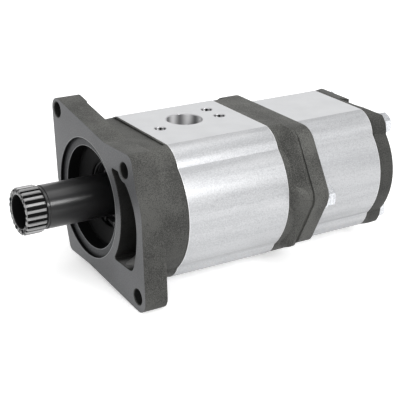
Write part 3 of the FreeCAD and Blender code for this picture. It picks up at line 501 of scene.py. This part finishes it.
def sleeveFinish(name):
    look = sleeveLook
    material, tree, shader = newFinish(name)
    # the ground finish runs round the sleeve, so its highlights stretch along it
    shader.inputs["Anisotropic"].default_value = look["anisotropy"]
    shader.inputs["Anisotropic Rotation"].default_value = look["turn"]
    around = addNode(tree, "ShaderNodeVectorMath", operation="CROSS_PRODUCT")
    tree.links.new(surfaceNormal(tree), around.inputs[0])
    around.inputs[1].default_value = (1.0, 0.0, 0.0)
    tree.links.new(around.outputs[0], shader.inputs["Tangent"])
    point = objectPoint(tree)
    at = axes(tree, point)
    rings = placeGroup(tree, turnedRings, Vector=point, Ring_Pitch=look["ringPitch"] * mm)
    onSpline = rampMm(tree, at["X"], *look["splineEnd"])
    crests = rampMm(tree, rings["Radius"], *look["rootRadius"])
    bright = mathNode(tree, "MAXIMUM", crests, rampMm(tree, at["X"], *look["frontFace"]))
    toothed = mixColour(tree, bright, look["root"], look["crest"])
    ground = mixValue(tree, stretchedNoise(tree, look["ground"]), *look["roughness"])
    metallic = times(tree, bright, look["crestMetallic"])
    specular = mathNode(tree, "MAXIMUM", bright, look["rootSpecular"])
    for socket, made in (("Base Color", mixColour(tree, onSpline, look["black"], toothed)),
                         ("Roughness", mixValue(tree, onSpline, ground, look["splineRoughness"])),
                         ("Metallic", mixValue(tree, onSpline, 0.0, metallic)),
                         ("Specular IOR Level", mixValue(tree, onSpline, look["specular"], specular))):
        tree.links.new(made, shader.inputs[socket])
    bump(tree, shader, rings["Height"], look["ringDepth"], look["edge"])
    return material


# Plain metals: bright zinc, ground and black steel, bronze and the bearing blocks' aluminium

metalGrain = {
    "fine": {"scale": 800.0, "detail": 4.0}, "slow": {"scale": 800.0 / 12, "detail": 2.0},
    "toneSpread": (0.35, 0.65), "depth": 0.02,   # mm
}
metals = {
    "zinc": {"dark": (0.45, 0.46, 0.48), "light": (0.68, 0.69, 0.71),
             "roughness": (0.14, 0.26), "metallic": 1.0, "edge": 0.5},
    "groundSteel": {"dark": (0.32, 0.32, 0.33), "light": (0.48, 0.48, 0.49),
                    "roughness": (0.22, 0.36), "metallic": 1.0, "edge": 0.0},
    "blackSteel": {"dark": (0.03, 0.03, 0.03), "light": (0.06, 0.06, 0.062),
                   "roughness": (0.3, 0.5), "metallic": 0.7, "edge": 0.0},
    "bronze": {"dark": (0.42, 0.27, 0.12), "light": (0.60, 0.42, 0.20),
               "roughness": (0.25, 0.4), "metallic": 1.0, "edge": 0.0},
    "blockAluminium": {"dark": (0.5, 0.51, 0.53), "light": (0.68, 0.69, 0.71),
                       "roughness": (0.3, 0.45), "metallic": 1.0, "edge": 0.0},
}


def metalFinish(name, look):
    material, tree, shader = newFinish(name, look["metallic"])
    fine, slow = (noise(tree, objectPoint(tree), metalGrain[key]["scale"], metalGrain[key]["detail"])
                  for key in ("fine", "slow"))
    tone = weighted(tree, fine, 0.5, slow, 0.5)
    colour = mixColour(tree, ramp(tree, tone, *metalGrain["toneSpread"]), look["dark"], look["light"])
    tree.links.new(colour, shader.inputs["Base Color"])
    tree.links.new(mixValue(tree, tone, *look["roughness"]), shader.inputs["Roughness"])
    bump(tree, shader, fine, metalGrain["depth"], look["edge"])
    return material


# Thread flanks and rubber

flankLook = {
    "metallic": 0.9, "plain": (0.5, 0.5, 0.51), "roughness": (0.2, 0.4),
    "grain": {"scale": 900.0, "detail": 3.0}, "depth": 0.02,   # mm
}
rubberLook = {
    "specular": 0.4, "dark": (0.010, 0.010, 0.011), "light": (0.028, 0.028, 0.029),
    "roughness": (0.5, 0.7), "grain": {"scale": 1200.0, "detail": 3.0}, "depth": 0.03,   # mm
}


def tappedFinish(name):
    # bright thread flanks with the painted reflection bands of their hole
    look = flankLook
    material, tree, shader = newFinish(name, look["metallic"])
    point = objectPoint(tree)
    mask, tone = paintedBoreBands(tree, axes(tree, point), boreLook["holes"], boreLook["holeBands"])
    banded = mixColour(tree, tone, boreLook["holeDark"], boreLook["holeLight"])
    tree.links.new(mixColour(tree, mask, look["plain"], banded), shader.inputs["Base Color"])
    fine = noise(tree, point, look["grain"]["scale"], look["grain"]["detail"])
    tree.links.new(mixValue(tree, fine, *look["roughness"]), shader.inputs["Roughness"])
    bump(tree, shader, fine, look["depth"])
    return material


def rubberFinish(name):
    look = rubberLook
    material, tree, shader = newFinish(name, specular=look["specular"])
    fine = noise(tree, objectPoint(tree), look["grain"]["scale"], look["grain"]["detail"])
    tree.links.new(mixColour(tree, fine, look["dark"], look["light"]), shader.inputs["Base Color"])
    tree.links.new(mixValue(tree, fine, *look["roughness"]), shader.inputs["Roughness"])
    bump(tree, shader, fine, look["depth"])
    return material


# Every material, and which piece wears it

# how light each casting is; the end cover's low level is painted shade, as its visible side is turned from
# the light
irons = {
    "coverIron": {"level": 0.72, "withFront": True}, "plainIron": {"level": 0.89, "withFront": False},
    "endIronPaintedShade": {"level": 0.51, "withFront": False},
}
finishOfSlot = {
    "cast_iron": "plainIron", "body_aluminium": "frontAluminium", "block_aluminium": "blockAluminium",
    "sleeve_steel": "sleeveSteel", "gear_steel": "groundSteel", "zinc_fasteners": "zinc",
    "screw_steel": "blackSteel", "dark_steel": "blackSteel", "bush_bronze": "bronze",
    "seal_rubber": "rubber",
}
finishOfNode = {"front_cover": "coverIron", "rear_body": "rearAluminium", "end_cover": "endIronPaintedShade"}

finishes = {finishName: castFinish(finishName, **look) for finishName, look in irons.items()}
for finishName, body in bodies.items():
    finishes[finishName] = aluminiumFinish(finishName, body)
finishes["sleeveSteel"] = sleeveFinish("sleeveSteel")
for finishName, look in metals.items():
    finishes[finishName] = metalFinish(finishName, look)
finishes["rubber"] = rubberFinish("rubber")


def dress(name, material):
    slots = nodes[name].data.materials
    if len(slots) == 0:
        slots.append(material)
    for i in range(len(slots)):
        slots[i] = material


for entry in frame["record"]["subparts"]:
    finishName = finishOfNode.get(entry["node"], finishOfSlot[entry["material_slot"]])
    dress(entry["node"], finishes[finishName])
print("finishes placed")


# Threads in the tapped holes: one helix for each hole, grown from a point at its lower end

outletY = -19.5   # mm, the middle of both outlets


def inletHoles(z):
    return [(x, y, z) for x, y, radius in boreLook["holes"]]


def outletHoles(x, width, length, z):
    # the four tapped holes round an outlet, in mm
    return [(x + across * width / 2, outletY + along * length / 2, z)
            for along in (-1, 1) for across in (-1, 1)]


threads = {
    "inletThreads": {
        "body": "housing", "radius": 4.22, "ridge": 0.42, "pitch": 1.5, "turns": 11.0,   # mm
        "places": inletHoles(35.4) + outletHoles(81.65, 22.2, 47.6, -51.9),
    },
    "outletThreads": {
        "body": "housing", "radius": 3.38, "ridge": 0.34, "pitch": 1.25, "turns": 13.0,   # mm
        "places": outletHoles(187.0, 17.5, 38.1, -49.6),
    },
}
threadTreeLook = {"stepsPerTurn": 20, "ridgeSides": 3}


def makeThreadTree():
    # a three-sided ridge swept along a spiral, stood on every point of the carrier mesh
    tree = bpy.data.node_groups.new("threadRun", "GeometryNodeTree")
    tree.interface.new_socket("Geometry", in_out="INPUT", socket_type="NodeSocketGeometry")
    for label, value in (("Radius", 4.0 * mm), ("Ridge", 0.4 * mm), ("Pitch", 1.5 * mm), ("Turns", 10.0)):
        socket = tree.interface.new_socket(label, in_out="INPUT", socket_type="NodeSocketFloat")
        socket.default_value = value
    tree.interface.new_socket("Finish", in_out="INPUT", socket_type="NodeSocketMaterial")
    tree.interface.new_socket("Geometry", in_out="OUTPUT", socket_type="NodeSocketGeometry")
    given = addNode(tree, "NodeGroupInput", (-900, 0))
    out = addNode(tree, "NodeGroupOutput", (900, 0))
    spiral = addNode(tree, "GeometryNodeCurveSpiral", (-500, 200))
    spiral.inputs["Resolution"].default_value = threadTreeLook["stepsPerTurn"]
    profile = addNode(tree, "GeometryNodeCurvePrimitiveCircle", (-500, -100))
    profile.inputs["Resolution"].default_value = threadTreeLook["ridgeSides"]
    run = addNode(tree, "GeometryNodeCurveToMesh", (-200, 100))
    run.inputs["Fill Caps"].default_value = True
    stand = addNode(tree, "GeometryNodeInstanceOnPoints", (100, 100))
    real = addNode(tree, "GeometryNodeRealizeInstances", (350, 100))
    finish = addNode(tree, "GeometryNodeSetMaterial", (600, 100))
    height = times(tree, given.outputs["Pitch"], given.outputs["Turns"])
    for start, end in (
            (given.outputs["Turns"], spiral.inputs["Rotations"]),
            (given.outputs["Radius"], spiral.inputs["Start Radius"]),
            (given.outputs["Radius"], spiral.inputs["End Radius"]),
            (height, spiral.inputs["Height"]),
            (given.outputs["Ridge"], profile.inputs["Radius"]),
            (spiral.outputs["Curve"], run.inputs["Curve"]),
            (profile.outputs["Curve"], run.inputs["Profile Curve"]),
            (given.outputs["Geometry"], stand.inputs["Points"]),
            (run.outputs["Mesh"], stand.inputs["Instance"]),
            (stand.outputs["Instances"], real.inputs["Geometry"]),
            (real.outputs["Geometry"], finish.inputs["Geometry"]),
            (given.outputs["Finish"], finish.inputs["Material"]),
            (finish.outputs["Geometry"], out.inputs["Geometry"])):
        tree.links.new(start, end)
    return tree


def socketKey(tree, label):
    return next(item.identifier for item in tree.interface.items_tree
                if item.name == label and item.in_out == "INPUT")


def applied(name, points, tree, values):
    # run the tree on a mesh of points and keep the result as a plain mesh at the origin
    carrier = bpy.data.meshes.new(name + "Points")
    carrier.from_pydata(points, [], [])
    made = bpy.data.objects.new(name, carrier)
    bpy.context.collection.objects.link(made)
    modifier = made.modifiers.new("run", "NODES")
    modifier.node_group = tree
    for label, value in values.items():
        modifier[socketKey(tree, label)] = value
    bpy.context.view_layer.update()
    plain = bpy.data.meshes.new_from_object(made.evaluated_get(bpy.context.evaluated_depsgraph_get()))
    made.modifiers.clear()
    made.data = plain
    bpy.data.meshes.remove(carrier)
    return made


def outwardNormals(mesh):
    work = bmesh.new()
    work.from_mesh(mesh)
    bmesh.ops.recalc_face_normals(work, faces=work.faces[:])
    work.to_mesh(mesh)
    work.free()


threadTree = makeThreadTree()
tappedMetal = tappedFinish("tappedMetal")
for threadName, look in threads.items():
    places = [tuple(v * mm for v in place) for place in look["places"]]
    made = applied(threadName, places, threadTree,
                   {"Radius": look["radius"] * mm, "Ridge": look["ridge"] * mm,
                    "Pitch": look["pitch"] * mm, "Turns": look["turns"], "Finish": tappedMetal})
    outwardNormals(made.data)
    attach(made, look["body"])
    print(threadName, len(made.data.polygons), "faces")


# Floor, light and camera

studio = {
    "floorSize": 12.0, "floorHeight": -0.0610,   # m
    "floorColour": (0.92, 0.92, 0.92), "floorGlow": 0.45,
    "worldStrength": 0.70, "worldColour": (1.0, 1.0, 1.0),
}


def seenRays(tree):
    # 1 for rays straight from the camera, off a gloss or through glass
    path = addNode(tree, "ShaderNodeLightPath")
    kinds = ("Is Glossy Ray", "Is Transmission Ray", "Is Camera Ray")
    return largest(tree, [path.outputs[kind] for kind in kinds])


def makeFloor():
    half = studio["floorSize"] / 2
    mesh = bpy.data.meshes.new("floor")
    corners = ((-half, -half), (half, -half), (half, half), (-half, half))
    mesh.from_pydata([(x, y, studio["floorHeight"]) for x, y in corners], [], [(0, 1, 2, 3)])
    floor = bpy.data.objects.new("floor", mesh)
    bpy.context.collection.objects.link(floor)
    material = bpy.data.materials.new("floorWhite")
    material.use_nodes = True
    tree = material.node_tree
    tree.nodes.remove(tree.nodes["Principled BSDF"])
    diffuse = addNode(tree, "ShaderNodeBsdfDiffuse")
    feed(tree, diffuse.inputs["Color"], studio["floorColour"])
    glow = addNode(tree, "ShaderNodeEmission")
    feed(tree, glow.inputs["Strength"], times(tree, seenRays(tree), studio["floorGlow"]))
    both = addNode(tree, "ShaderNodeAddShader")
    tree.links.new(diffuse.outputs[0], both.inputs[0])
    tree.links.new(glow.outputs[0], both.inputs[1])
    tree.links.new(both.outputs[0], tree.nodes["Material Output"].inputs["Surface"])
    mesh.materials.append(material)


def makeWorld():
    world = bpy.data.worlds.new("studio")
    bpy.context.scene.world = world
    world.use_nodes = True
    tree = world.node_tree
    shader = tree.nodes["Background"]
    feed(tree, shader.inputs["Color"], studio["worldColour"])
    feed(tree, shader.inputs["Strength"], mixValue(tree, seenRays(tree), studio["worldStrength"], 1.0))


# Soft boxes: place, aim and size in metres, power in watts
lamps = {
    "overhead": {"place": (0.1, -0.2, 1.2), "aim": (0.1, -0.02, 0.0),
                 "size": (1.2, 0.9), "power": 3.8},
    "rearStrip": {"place": (0.64, -0.02, 1.12), "aim": (0.04, -0.02, 0.0),
                  "size": (0.34, 0.22), "power": 0.30},
    "rightSoft": {"place": (0.24, -1.05, 0.62), "aim": (0.0, -0.02, 0.0),
                  "size": (0.45, 0.3), "power": 7.2},
    "backWall": {"place": (0.68, 0.93, 0.46), "aim": (0.08, -0.02, 0.0),
                 "size": (1.1, 0.8), "power": 0.5},
    "leftSoft": {"place": (-1.0, -0.7, 0.6), "aim": (0.05, -0.02, 0.0),
                 "size": (0.7, 0.9), "power": 2.2},
}


def makeLamp(name, look):
    lamp = bpy.data.lights.new(name, "AREA")
    lamp.shape = "RECTANGLE"
    lamp.size, lamp.size_y = look["size"]
    lamp.energy = look["power"]
    holder = bpy.data.objects.new(name, lamp)
    bpy.context.collection.objects.link(holder)
    holder.location = look["place"]
    away = Vector(look["place"]) - Vector(look["aim"])
    holder.rotation_euler = away.to_track_quat("Z", "Y").to_euler()


view = {
    "azimuth": -32.094, "elevation": 21.659, "roll": 0.788,   # degrees
    "place": (-357.009, -730.171, 320.574),                   # mm
    "focalPixels": 1148.47, "imageWidth": 400,                # pixels
    "sensorWidth": 36.0, "clipEnd": 20.0,                     # mm, m
}


def makeCamera():
    lens = bpy.data.cameras.new("camera")
    lens.sensor_width = view["sensorWidth"]
    lens.lens = view["focalPixels"] / view["imageWidth"] * view["sensorWidth"]
    lens.clip_end = view["clipEnd"]
    camera = bpy.data.objects.new("camera", lens)
    bpy.context.collection.objects.link(camera)
    turn, tilt, roll = (math.radians(view[key]) for key in ("azimuth", "elevation", "roll"))
    back = Vector((math.sin(turn) * math.cos(tilt), -math.cos(turn) * math.cos(tilt), math.sin(tilt)))
    right = Vector((math.cos(turn), math.sin(turn), 0))
    up = back.cross(right)
    turnedRight = math.cos(roll) * right + math.sin(roll) * up
    turnedUp = math.cos(roll) * up - math.sin(roll) * right
    facing = Matrix((turnedRight, turnedUp, back)).transposed().to_4x4()
    camera.matrix_world = Matrix.Translation(Vector(view["place"]) * mm) @ facing
    bpy.context.scene.camera = camera


makeFloor()
makeWorld()
for lampName, lampLook in lamps.items():
    makeLamp(lampName, lampLook)
makeCamera()
bpy.context.scene.view_settings.view_transform = "Standard"
print("studio ready")
